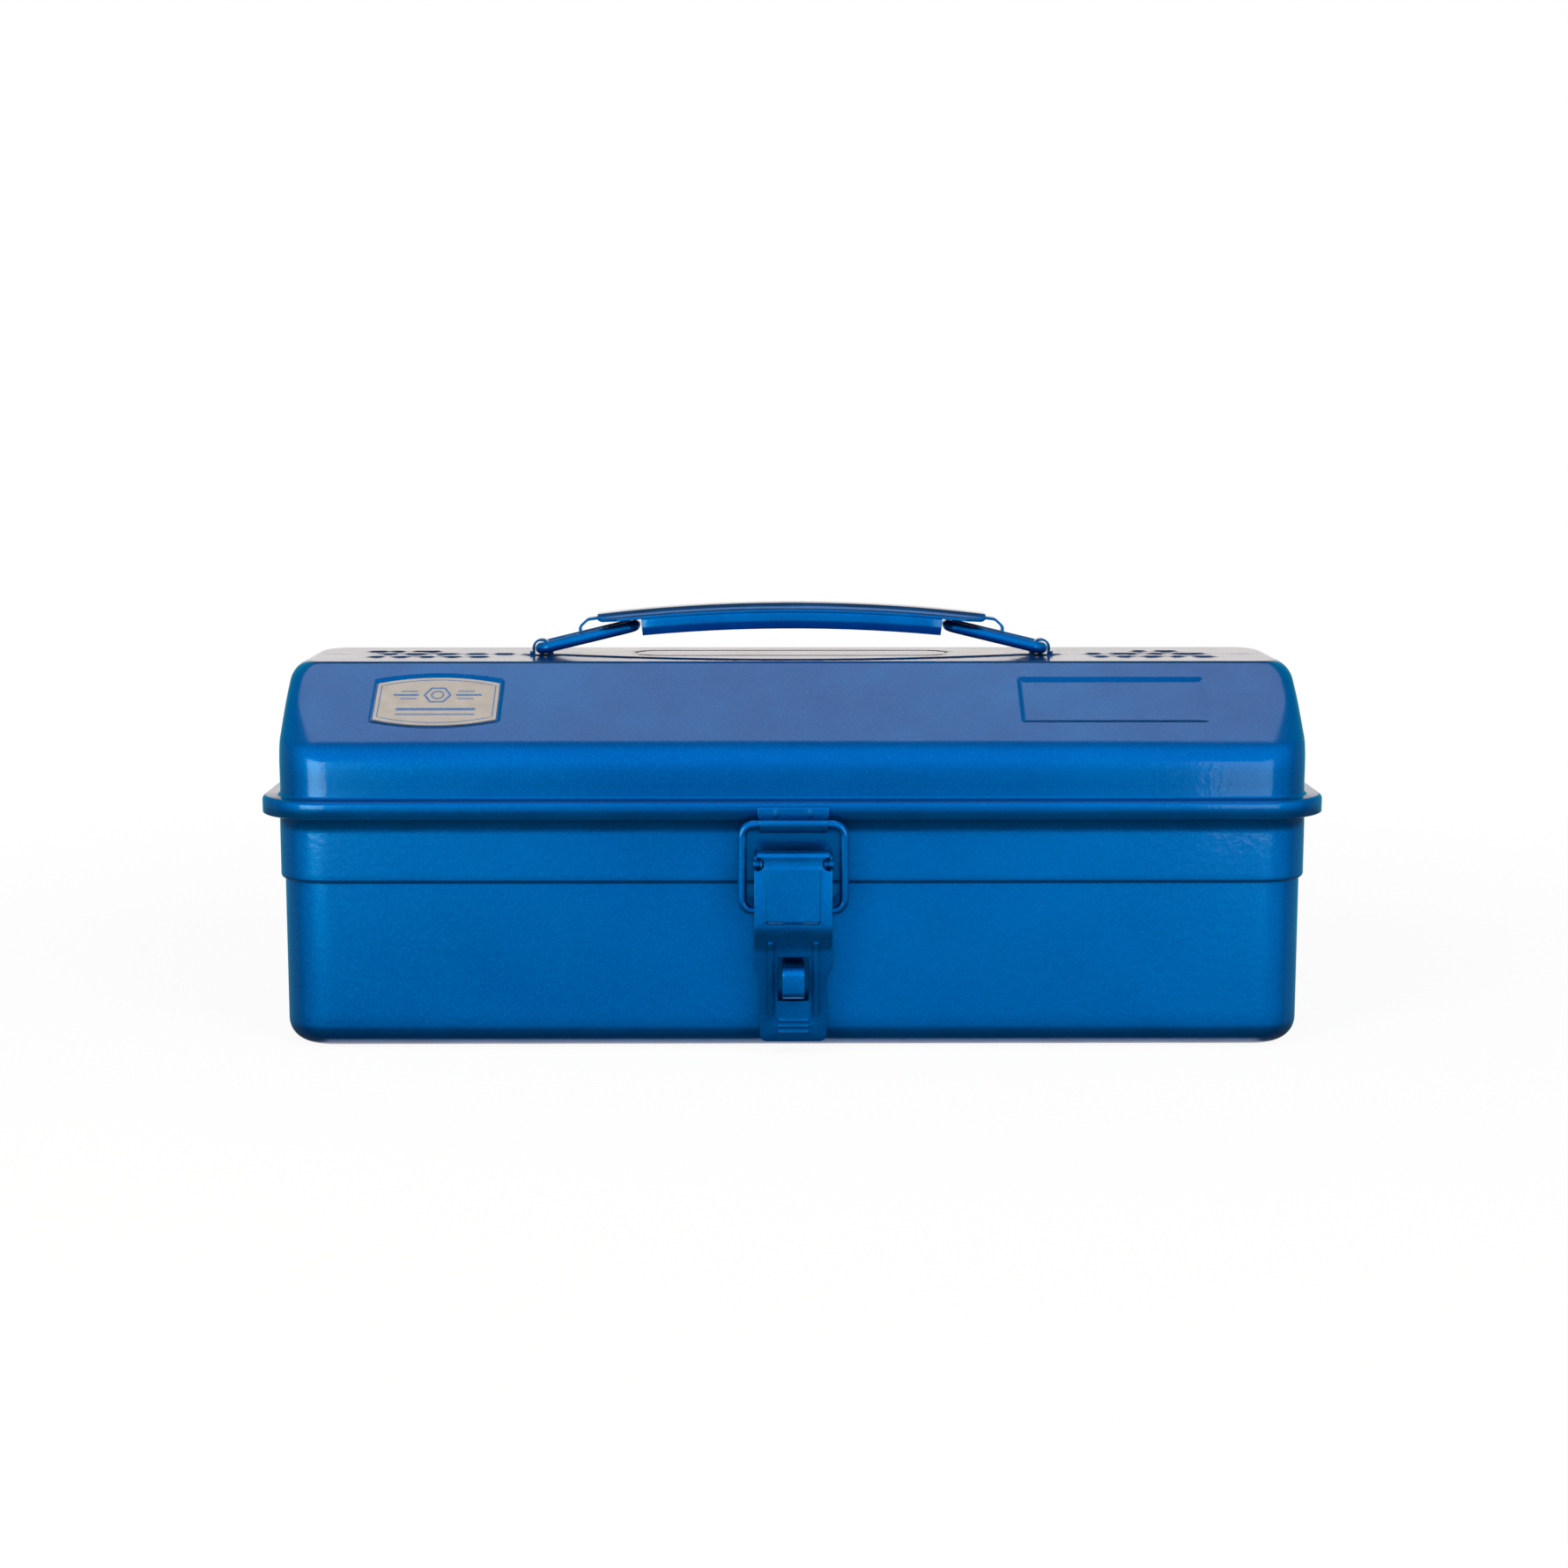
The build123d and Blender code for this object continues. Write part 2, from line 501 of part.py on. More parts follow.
def build():
    parts = {
        "case_shell": case_shell(),
        "latch_base": latch_base(),
        "latch_pin": latch_pin(),
        "padlock_staple": padlock_staple(),
        "lid_shell": lid_shell(),
        "name_plate": name_plate(),
        "strike_clip": strike_clip(),
        "latch_lever": latch_lever(),
        "latch_bail": latch_bail(),
        "handle_grip": handle_grip(),
        "tray_pan": tray_pan(),
    }
    for name, side in SIDES.items():
        parts["hinge_leaf_case_" + name] = hinge_leaf_case(side * HINGE_X)
        parts["hinge_leaf_lid_" + name] = hinge_leaf_lid(side * HINGE_X)
        parts["hinge_pin_" + name] = hinge_pin(side * HINGE_X)
        parts["handle_link_" + name] = handle_link(side)
        parts["handle_bracket_" + name] = handle_bracket(side)
        parts["tray_loop_" + name] = tray_loop(side)
    return parts


os.makedirs("parts", exist_ok=True)
for part_name, shape in build().items():
    export_step(shape, "parts/" + part_name + ".step")
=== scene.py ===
"""Looks for the steel tool box: soft pressed skins, enamel paint, printed label, studio."""

import math

import bmesh
import bpy
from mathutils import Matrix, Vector


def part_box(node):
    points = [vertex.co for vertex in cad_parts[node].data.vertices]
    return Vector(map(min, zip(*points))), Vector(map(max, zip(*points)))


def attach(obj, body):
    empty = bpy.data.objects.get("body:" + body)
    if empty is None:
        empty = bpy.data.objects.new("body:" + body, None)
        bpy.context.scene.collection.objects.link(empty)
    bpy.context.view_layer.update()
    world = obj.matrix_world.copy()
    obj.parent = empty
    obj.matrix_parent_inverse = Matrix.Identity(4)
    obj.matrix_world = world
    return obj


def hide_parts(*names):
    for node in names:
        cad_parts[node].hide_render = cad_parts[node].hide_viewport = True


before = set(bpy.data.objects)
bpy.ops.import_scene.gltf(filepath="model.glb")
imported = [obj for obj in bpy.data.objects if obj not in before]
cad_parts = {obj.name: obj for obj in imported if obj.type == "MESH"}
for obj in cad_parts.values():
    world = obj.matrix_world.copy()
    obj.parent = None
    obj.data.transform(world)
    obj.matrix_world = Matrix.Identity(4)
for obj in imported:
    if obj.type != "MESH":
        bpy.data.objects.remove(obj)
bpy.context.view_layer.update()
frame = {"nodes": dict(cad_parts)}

MM = 0.001
SHEET = 0.8

# --- places read from the frame, in millimetres --------------------------------------------
CASE_HIGH = tuple(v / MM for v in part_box("case_shell")[1])
LID_LOW, LID_HIGH = (tuple(v / MM for v in corner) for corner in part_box("lid_shell"))
HEM = 3.4                                   # the hem stands this far out from the case wall
CASE_HX, CASE_HY = CASE_HIGH[0] - HEM, CASE_HIGH[1] - HEM
CASE_TOP = CASE_HIGH[2]
CASE_R = 17.0
STEP_IN, STEP_LOW, STEP_HIGH = 1.2, 57.0, 58.4
BOTTOM_R = 8.0
HEM_H = 3.8

FLANGE_HX, FLANGE_HY = LID_HIGH[0], LID_HIGH[1]
FLANGE_R, FLANGE_EDGE = 22.5, 1.5
SKIRT_LOW = LID_LOW[2]
FLANGE_TOP = SKIRT_LOW + 6.0
PLATEAU = 0.4
LID_TOP = LID_HIGH[2] - PLATEAU
TOP_HALF = 27.4
SHOULDER_Z = 101.5
SHOULDER_R, TOP_R, END_R = 11.0, 5.5, 6.0
SIDE_R = 6.0
LID_HX = CASE_HX - 0.35
FLARE = 0.3                                 # the lid ends lean out this much at the top
SLOPE = math.atan2(LID_TOP - SHOULDER_Z, CASE_HY - TOP_HALF)


def smooth(edge0, edge1, value):
    """0 below edge0, 1 above edge1, eased in between."""
    t = min(max((value - edge0) / (edge1 - edge0), 0.0), 1.0)
    return t * t * (3 - 2 * t)


# --- lofted skins ----------------------------------------------------------------------------
CORNER_STEPS = 14
END_STEPS = 36
EXTRA_STEPS = 4
COLUMN_REACH = 148.0
EDGE_OFFSETS = (-0.9, -0.45, 0.0, 0.45, 0.9)
FLATTEST = 0.96                             # a ring's corner takes up to this share of its half depth
WELD = 0.00002
SMALLEST = 0.00001


def columns(spacing, edges=()):
    """X places of the long-side columns, closer together at the edges of pressed fields."""
    count = round(2 * COLUMN_REACH / spacing)
    places = [-COLUMN_REACH + 2 * COLUMN_REACH * i / count for i in range(count + 1)]
    for edge in edges:
        places = [x for x in places if abs(x - edge) > spacing]
        places += [edge + d for d in EDGE_OFFSETS]
    return sorted(places)


def ring(level, xs):
    """Points once round a rounded rectangle; level is (z, half x, half y, corner x, corner y)."""
    z, hx, hy, rx, ry = level
    ry = min(ry, FLATTEST * hy)
    straight = hx - rx
    side = list(xs)
    if straight > COLUMN_REACH:
        step = (straight - COLUMN_REACH) / EXTRA_STEPS
        extra = [COLUMN_REACH + step * (k + 1) for k in range(EXTRA_STEPS)]
    else:
        extra = [COLUMN_REACH] * EXTRA_STEPS
    side = [-x for x in reversed(extra)] + side + extra
    front = [(x, -hy, z) for x in side]
    corner = []
    for k in range(1, CORNER_STEPS):
        angle = math.pi / 2 * k / CORNER_STEPS
        corner.append((straight + rx * math.sin(angle), -hy + ry - ry * math.cos(angle), z))
    end = [(hx, -(hy - ry) + 2 * (hy - ry) * k / END_STEPS, z) for k in range(END_STEPS + 1)]
    half = front + corner + end + [(x, -y, z) for x, y, _ in reversed(corner)]
    return half + [(-x, -y, z) for x, y, _ in half]


def loft(name, levels, xs, relief=None):
    """Mesh through the rings; a ring of hairline depth closes the skin on the middle line."""
    mesh = bpy.data.meshes.new(name)
    bm = bmesh.new()
    rows = []
    for level in levels:
        points = [Vector(p) for p in ring(level, xs)]
        rows.append([bm.verts.new(p * MM) for p in points])
    count = len(rows[0])
    for low, high in zip(rows, rows[1:]):
        for k in range(count):
            n = (k + 1) % count
            bm.faces.new((low[k], low[n], high[n], high[k]))
    if relief:
        bm.normal_update()
        moves = [(v, v.normal * relief(v.co / MM, v.normal) * MM) for v in bm.verts]
        for vert, move in moves:
            vert.co += move
    bmesh.ops.remove_doubles(bm, verts=bm.verts, dist=WELD)
    bmesh.ops.dissolve_degenerate(bm, edges=bm.edges, dist=SMALLEST)
    bmesh.ops.recalc_face_normals(bm, faces=bm.faces)
    bm.to_mesh(mesh)
    bm.free()
    for polygon in mesh.polygons:
        polygon.use_smooth = True
    obj = bpy.data.objects.new(name, mesh)
    bpy.context.scene.collection.objects.link(obj)
    return obj


# --- lid skin --------------------------------------------------------------------------------
PANEL = dict(x=109.3, z=116.3, w=63.7, h=24.0)
LABEL = dict(x=-121.2, z=116.1, w=41.6, h=26.0, waist=19.6)
PRESS = 0.5                                 # depth of the pressed fields
PANEL_SOFT = (-0.5, 1.6)                    # the panel's edge runs from outside to inside the outline
LABEL_SOFT = (-0.7, 0.5)
POCKET = 1.0                                # the label's pocket is this much larger all round
SLOPE_ROWS = 54
TOP_ROWS = 60
UP = math.pi / 2
LIP = 0.3                                   # small turn-in at the skirt's lower edge
FOOT_R = 1.3                                # hollow between the flange and the lid wall
BLEND_LOW, BLEND_HIGH = 5.0, 17.0           # the end corners tighten between these, round the shoulder
RIDGE_END = 9.0                             # the top's middle line runs this far past the columns
HAIRLINE = 0.001


def slope_place(x, z):
    """Point on the front slope of the lid."""
    y = -CASE_HY + (z - SHOULDER_Z) / math.tan(SLOPE)
    return Vector((x, y, z))


def along_slope(co, field):
    """Distance up the slope from a field's middle."""
    middle = slope_place(field["x"], field["z"])
    return (co.y - middle.y) * math.cos(SLOPE) + (co.z - middle.z) * math.sin(SLOPE)


def label_edge(u):
    """Half height of the barrel-shaped label at a fraction of its half width."""
    return LABEL["waist"] / 2 + (LABEL["h"] - LABEL["waist"]) / 2 * (1 - min(abs(u), 1.0) ** 2)


def pressed_fields(co):
    """How deep the front slope is pressed in at a point."""
    up = along_slope(co, PANEL)
    inside = min(PANEL["w"] / 2 - abs(co.x - PANEL["x"]), PANEL["h"] / 2 - abs(up))
    depth = smooth(*PANEL_SOFT, inside)
    up = along_slope(co, LABEL)
    across = abs(co.x - LABEL["x"])
    half = LABEL["w"] / 2 + POCKET
    inside = min(half - across, label_edge(across / half) + POCKET - abs(up))
    return PRESS * max(depth, smooth(*LABEL_SOFT, inside))


LENS_X, LENS_Y, LENS_SOFT = 91.0, 22.5, (-0.2, 0.8)
PAD_X, PAD_R = (80.0, 96.0), 5.5            # round landings under the handle brackets
BEAD_X, BEAD_R, BEAD_HALF, BEAD_DEPTH = 56.0, 9.5, 1.0, 0.34
# short raised dashes on both ends of the top: (depth place, starts and ends along the length)
DASHES_LEFT = ((11.0, ((-152, -145), (-142.5, -139), (-136.5, -126))),
               (1.5, ((-146, -141), (-138, -130), (-127, -119), (-116, -109), (-106, -99))),
               (-9.0, ((-149, -144), (-141, -135), (-132, -126), (-123, -117), (-114, -107))))
DASHES_RIGHT = ((11.0, ((123, 128), (131, 139))),
                (1.5, ((105, 111), (114, 124), (127, 133), (136, 148))),
                (-9.0, ((107, 112), (115, 121), (124, 131), (134, 139), (142, 150))))
DASH_R, DASH_SOFT = 2.6, 0.9


def capsule(x, y, x0, x1, radius):
    """Signed distance to a bar along X with round ends."""
    nearest = min(max(x, x0 + radius), x1 - radius)
    return math.hypot(x - nearest, y) - radius


def top_relief(co):
    """Raised lens between the brackets, an oval groove inside it and short dashes at both ends."""
    lens = LENS_Y * (1 - min(abs(co.x) / LENS_X, 1.0) ** 2) - abs(co.y)
    pad = -capsule(abs(co.x), co.y, *PAD_X, PAD_R)
    lift = PLATEAU * smooth(*LENS_SOFT, max(lens, pad))
    bead = capsule(co.x, co.y, -BEAD_X, BEAD_X, BEAD_R)
    lift -= BEAD_DEPTH * max(0.0, 1 - (abs(bead) / BEAD_HALF) ** 2)
    for row, dashes in DASHES_RIGHT if co.x > 0 else DASHES_LEFT:
        for start, stop in dashes:
            off = capsule(co.x, co.y - row, start, stop, DASH_R)
            lift += PLATEAU * smooth(DASH_SOFT, -DASH_SOFT, off)
    return min(lift, PLATEAU)


def lid_relief(co, normal):
    """Height to add at a point of the lid: pressed fields on the slope, relief on the top."""
    if co.z < SHOULDER_Z + 1:
        return 0.0
    if co.y < -TOP_HALF + 1:
        return -pressed_fields(co)
    if co.z > LID_TOP - 0.2:
        return top_relief(co)
    return 0.0


def end_half(z):
    """Half length of the lid at a height, rounded over at the top."""
    flat = LID_HX + FLARE * (z - FLANGE_TOP) / (LID_TOP - FLANGE_TOP)
    drop = z - (LID_TOP - END_R)
    if drop <= 0:
        return flat
    return flat - END_R + math.sqrt(max(END_R ** 2 - drop ** 2, 0.0))


def arc_points(centre, radius, start, stop, steps):
    """Points on an arc in the (half depth, height) plane; angles in radians."""
    points = []
    for k in range(steps + 1):
        angle = start + (stop - start) * k / steps
        points.append((centre[0] + radius * math.cos(angle), centre[1] + radius * math.sin(angle)))
    return points


def flange_levels():
    """Skirt, rounded outer edge, and the hollow foot where the flange meets the lid wall."""
    low = [(FLANGE_HX - LIP, FLANGE_HY - LIP, SKIRT_LOW),
           (FLANGE_HX, FLANGE_HY, SKIRT_LOW + LIP),
           (FLANGE_HX, FLANGE_HY, FLANGE_TOP - FLANGE_EDGE - 2 * LIP)]
    levels = [(z, hx, hy, FLANGE_R, FLANGE_R) for hx, hy, z in low]
    for k in range(7):
        angle = UP * k / 6
        inset = FLANGE_EDGE * (1 - math.cos(angle))
        z = FLANGE_TOP - FLANGE_EDGE * (1 - math.sin(angle))
        levels.append((z, FLANGE_HX - inset, FLANGE_HY - inset, FLANGE_R - inset, FLANGE_R - inset))
    for k in range(6):
        angle = UP * k / 5
        out = FOOT_R * (1 - math.sin(angle))
        z = FLANGE_TOP + FOOT_R * (1 - math.cos(angle))
        levels.append((z, LID_HX + out, CASE_HY + out, CASE_R + out, CASE_R + out))
    return levels


def dome_rows(cut):
    """(half depth, height) up the wall, round the shoulder, up the slope and onto the top."""
    lean = UP - SLOPE
    wall_top = SHOULDER_Z - SHOULDER_R * math.tan(lean / 2)
    foot_z = FLANGE_TOP + FOOT_R
    rows = [(CASE_HY, foot_z + (wall_top - foot_z) * k / 3) for k in (1, 2)]
    rows += arc_points((CASE_HY - SHOULDER_R, wall_top), SHOULDER_R, 0.0, lean, 9)
    start = rows[-1]
    stop = (TOP_HALF + cut * math.cos(SLOPE), LID_TOP - cut * math.sin(SLOPE))
    for k in range(1, SLOPE_ROWS):
        t = k / SLOPE_ROWS
        rows.append((start[0] + (stop[0] - start[0]) * t, start[1] + (stop[1] - start[1]) * t))
    return rows + arc_points((TOP_HALF - cut, LID_TOP - TOP_R), TOP_R, lean, UP, 6)


def lid_levels():
    levels = flange_levels()
    cut = TOP_R * math.tan(SLOPE / 2)
    for hy, z in dome_rows(cut):
        t = smooth(SHOULDER_Z - BLEND_LOW, SHOULDER_Z + BLEND_HIGH, z)
        rx = CASE_R + (SIDE_R - CASE_R) * t
        ry = CASE_R + (SIDE_R / math.sin(SLOPE) - CASE_R) * t
        levels.append((z, end_half(z), hy, rx, ry))
    flat_hy = TOP_HALF - cut
    flat_hx = end_half(LID_TOP)
    for k in range(1, TOP_ROWS + 1):
        t = k / TOP_ROWS
        hx = flat_hx + (COLUMN_REACH + RIDGE_END - flat_hx) * t
        hy = max(flat_hy * (1 - t), HAIRLINE)
        levels.append((LID_TOP, hx, hy, SIDE_R * (1 - 0.9 * t), SIDE_R / math.sin(SLOPE)))
    return levels


def lid_skin():
    half_w, half_l = PANEL["w"] / 2, LABEL["w"] / 2 + POCKET
    edges = [PANEL["x"] - half_w, PANEL["x"] + half_w, LABEL["x"] - half_l, LABEL["x"] + half_l]
    obj = loft("lid_skin", lid_levels(), columns(1.6, edges), relief=lid_relief)
    shell = obj.modifiers.new("sheet", "SOLIDIFY")
    shell.thickness = SHEET * MM
    shell.offset = -1.0
    shell.use_rim = True
    return obj


# --- case skin -------------------------------------------------------------------------------
BOTTOM_END = 6.0                            # the bottom's middle line runs this far past the columns
ROUND_STEPS = 12
STEP_ROWS = 8
MOUTH_IN, MOUTH_DROP = 0.2, 0.3             # small bevel on the inner edge of the mouth


def case_levels():
    """Outside from the middle of the bottom up to the rolled mouth, then down the inside."""
    def wall(z):
        drop = min(max((STEP_HIGH - z) / (STEP_HIGH - STEP_LOW), 0.0), 1.0)
        return STEP_IN * (1 - math.sqrt(1 - drop ** 2))

    def side(z, inset):
        hx, hy = CASE_HX - wall(z) - inset, CASE_HY - wall(z) - inset
        return (z, hx, hy, CASE_R - inset, CASE_R - inset)

    def bottom(floor, inset):
        radius = BOTTOM_R - inset
        rows = []
        for k in range(ROUND_STEPS + 1):
            angle = UP * k / ROUND_STEPS
            pull = STEP_IN + inset + radius * (1 - math.sin(angle))
            z = floor + radius * (1 - math.cos(angle))
            corner = CASE_R - inset - (pull - STEP_IN - inset)
            rows.append((z, CASE_HX - pull, CASE_HY - pull, corner, corner))
        return rows

    fall = STEP_HIGH - STEP_LOW
    rounded = [STEP_HIGH - fall * math.sin(UP * k / STEP_ROWS) for k in range(STEP_ROWS, -1, -1)]
    heights = [12, 20, 32, 44, 52, 55.6, STEP_LOW - 0.1] + rounded + [60, 66, 74]
    middle_line = (COLUMN_REACH + BOTTOM_END, HAIRLINE, 0.5, 0.5)
    rows = [(0.0, *middle_line)]
    rows += bottom(0.0, 0.0)
    rows += [side(z, 0.0) for z in heights] + [side(CASE_TOP - HEM_H - 0.05, 0.0)]
    middle = CASE_TOP - HEM_H / 2
    for k in range(9):
        angle = 2 * UP * k / 8 - UP
        out = HEM - HEM_H / 2 + HEM_H / 2 * math.cos(angle)
        r = CASE_R + out
        rows.append((middle + HEM_H / 2 * math.sin(angle), CASE_HX + out, CASE_HY + out, r, r))
    rows.append(side(CASE_TOP, SHEET - MOUTH_IN))
    rows += [side(z, SHEET) for z in [CASE_TOP - MOUTH_DROP] + heights[::-1]]
    rows += bottom(SHEET, SHEET)[::-1]
    rows.append((SHEET, *middle_line))
    return rows


def case_skin():
    return loft("case_skin", case_levels(), columns(8.0))


# --- printed label ---------------------------------------------------------------------------
PLATE_T = 0.3
INK_LIFT, INK_THICK = 0.015, 0.02
FRAME_INSET, FRAME_W = 1.3, 0.35
NUT_UP, NUT_R, NUT_W, NUT_SQUASH = 3.4, 4.4, 0.8, 0.98
HOLE_R, HOLE_W = 2.0, 0.55
SHORT_RULES = ((6.4, 15.0, 0.0, 0.9), (6.9, 12.5, 2.0, 0.5), (6.9, 12.5, -2.0, 0.5))
LONG_RULES, LONG_HALF = ((-4.4, 1.3), (-7.2, 0.6)), 13.5


def label_frame(up, across):
    """Point on the face of the name plate, in metres."""
    low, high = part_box("name_plate")
    middle = (Vector(low) + Vector(high)) / 2
    rise = Vector((0.0, math.cos(SLOPE), math.sin(SLOPE)))
    outward = Vector((0.0, -math.sin(SLOPE), math.cos(SLOPE)))
    face = outward * (PLATE_T / 2 + INK_LIFT) * MM
    return middle + face + (rise * up + Vector((1.0, 0.0, 0.0)) * across) * MM


def ink_strip(bm, points, width, closed=False):
    """Flat printed line of constant width through (across, up) points."""
    count = len(points)
    left, right = [], []
    for k, (x, y) in enumerate(points):
        before = points[(k - 1) % count] if closed or k else points[k]
        after = points[(k + 1) % count] if closed or k < count - 1 else points[k]
        dx, dy = after[0] - before[0], after[1] - before[1]
        size = math.hypot(dx, dy) or 1.0
        nx, ny = -dy / size * width / 2, dx / size * width / 2
        left.append(bm.verts.new(label_frame(y + ny, x + nx)))
        right.append(bm.verts.new(label_frame(y - ny, x - nx)))
    steps = count if closed else count - 1
    for k in range(steps):
        n = (k + 1) % count
        bm.faces.new((left[k], right[k], right[n], left[n]))


def barrel_points(inset, steps=24):
    """Outline of the label moved in by inset."""
    half = LABEL["w"] / 2 - inset
    points = []
    for side in (1, -1):
        for k in range(steps + 1):
            u = side * (1 - 2 * k / steps)
            points.append((u * half, side * (label_edge(u) - inset)))
    return points


def hexagon(radius):
    corners = [math.pi / 3 * k for k in range(6)]
    return [(radius * math.cos(a), radius * math.sin(a)) for a in corners]


def ink_pictogram(bm):
    """Generic hexagon nut between short rules, with two long rules under it."""
    nut = [(x, y * NUT_SQUASH + NUT_UP) for x, y in hexagon(NUT_R)]
    ink_strip(bm, nut, NUT_W, closed=True)
    turns = [a / 16 * math.pi for a in range(32)]
    hole = [(HOLE_R * math.cos(a), HOLE_R * math.sin(a) + NUT_UP) for a in turns]
    ink_strip(bm, hole, HOLE_W, closed=True)
    for side in (-1, 1):
        for start, stop, rise, width in SHORT_RULES:
            ink_strip(bm, [(side * start, NUT_UP + rise), (side * stop, NUT_UP + rise)], width)
    for up, width in LONG_RULES:
        ink_strip(bm, [(-LONG_HALF, up), (LONG_HALF, up)], width)


def label_ink():
    bm = bmesh.new()
    ink_strip(bm, barrel_points(FRAME_INSET), FRAME_W, closed=True)
    ink_pictogram(bm)
    mesh = bpy.data.meshes.new("label_ink")
    bm.to_mesh(mesh)
    bm.free()
    obj = bpy.data.objects.new("label_ink", mesh)
    bpy.context.scene.collection.objects.link(obj)
    body = obj.modifiers.new("film", "SOLIDIFY")
    body.thickness = INK_THICK * MM
    body.offset = 1.0
    return obj


# --- materials -------------------------------------------------------------------------------
# paint colours: open tone, deeper patches, light flake, and the light tone again as painted highlight
# on edges
CASE_BLUES = ((0.0, 0.150, 0.480), (0.0, 0.112, 0.395), (0.004, 0.235, 0.620))
LID_BLUES = ((0.0, 0.120, 0.405), (0.0, 0.092, 0.345), (0.004, 0.200, 0.550))
# dark blue painted as shade into gaps and corners, within the reach and at the share below
SHADE_BLUE = (0.0, 0.035, 0.150)
SHADE_REACH = 14.0
EDGE_R = 0.45                               # shaded rounding of the fittings' sheet edges
FLAKE, GRAIN = 2600.0, 900.0                # pattern scales
FLAKE_SHARE, GRAIN_SHARE = 0.34, 0.16
# the first share is how much painted highlight goes on edges
EDGE_HIGHLIGHT_SHARE, SHADE_SHARE = 0.7, 0.7


class Shader:
    """Small helper around one material's nodes."""

    def __init__(self, name):
        self.material = bpy.data.materials.new(name)
        self.material.use_nodes = True
        self.nodes = self.material.node_tree.nodes
        self.links = self.material.node_tree.links
        self.bsdf = self.nodes["Principled BSDF"]
        self.place = self.nodes.new("ShaderNodeTexCoord").outputs["Object"]

    def link(self, source, target):
        self.links.new(source, target)

    def noise(self, scale, detail=2.0, roughness=0.5, stretch=None):
        node = self.nodes.new("ShaderNodeTexNoise")
        node.inputs["Scale"].default_value = scale
        node.inputs["Detail"].default_value = detail
        node.inputs["Roughness"].default_value = roughness
        source = self.place
        if stretch:
            mapping = self.nodes.new("ShaderNodeMapping")
            mapping.inputs["Scale"].default_value = stretch
            self.link(source, mapping.inputs["Vector"])
            source = mapping.outputs["Vector"]
        self.link(source, node.inputs["Vector"])
        return node.outputs["Fac"]

    def cells(self, scale):
        """A random value for each small cell."""
        node = self.nodes.new("ShaderNodeTexVoronoi")
        node.inputs["Scale"].default_value = scale
        self.link(self.place, node.inputs["Vector"])
        split = self.nodes.new("ShaderNodeSeparateColor")
        self.link(node.outputs["Color"], split.inputs["Color"])
        return split.outputs["Red"]

    def span(self, source, low, high, to_low=0.0, to_high=1.0):
        """Stretch a value between low and high onto another span."""
        node = self.nodes.new("ShaderNodeMapRange")
        node.inputs["From Min"].default_value = low
        node.inputs["From Max"].default_value = high
        node.inputs["To Min"].default_value = to_low
        node.inputs["To Max"].default_value = to_high
        self.link(source, node.inputs["Value"])
        return node.outputs["Result"]

    def mix(self, factor, low, high):
        """Blend two colours, each a constant or another node's output."""
        node = self.nodes.new("ShaderNodeMix")
        node.data_type = "RGBA"
        self.link(factor, node.inputs["Factor"])
        for socket, value in (("A", low), ("B", high)):
            target = [s for s in node.inputs if s.name == socket and s.type == "RGBA"][0]
            if isinstance(value, tuple):
                target.default_value = (*value, 1.0)
            else:
                self.link(value, target)
        return [s for s in node.outputs if s.type == "RGBA"][0]

    def rounded(self, radius):
        """Normal that rounds the sharp edges of a piece over."""
        node = self.nodes.new("ShaderNodeBevel")
        node.inputs["Radius"].default_value = radius * MM
        return node.outputs["Normal"]

    def bump(self, sources, last=None):
        """Chain of bumps: (height, strength, distance) from coarse to fine."""
        for height, strength, distance in sources:
            node = self.nodes.new("ShaderNodeBump")
            node.inputs["Strength"].default_value = strength
            node.inputs["Distance"].default_value = distance
            self.link(height, node.inputs["Height"])
            if last:
                self.link(last, node.inputs["Normal"])
            last = node.outputs["Normal"]
        self.link(last, self.bsdf.inputs["Normal"])
        return last

    def pointy_edges(self, low, high):
        """1 on sharp outward edges of a dense mesh, where painted highlight goes."""
        geometry = self.nodes.new("ShaderNodeNewGeometry")
        return self.span(geometry.outputs["Pointiness"], low, high)

    def edge_line(self, rounding):
        """1 where the rounded normal leaves the flat one, 0 on open faces."""
        geometry = self.nodes.new("ShaderNodeNewGeometry")
        node = self.nodes.new("ShaderNodeVectorMath")
        node.operation = "DOT_PRODUCT"
        self.link(rounding, node.inputs[0])
        self.link(geometry.outputs["Normal"], node.inputs[1])
        return self.span(node.outputs["Value"], 0.99, 0.80)

    def shaded_corners(self, reach):
        """1 in narrow gaps and corners, where painted shade goes; 0 on open faces."""
        node = self.nodes.new("ShaderNodeAmbientOcclusion")
        node.samples = 6
        node.inputs["Distance"].default_value = reach * MM
        return self.span(node.outputs["AO"], 0.92, 0.30)


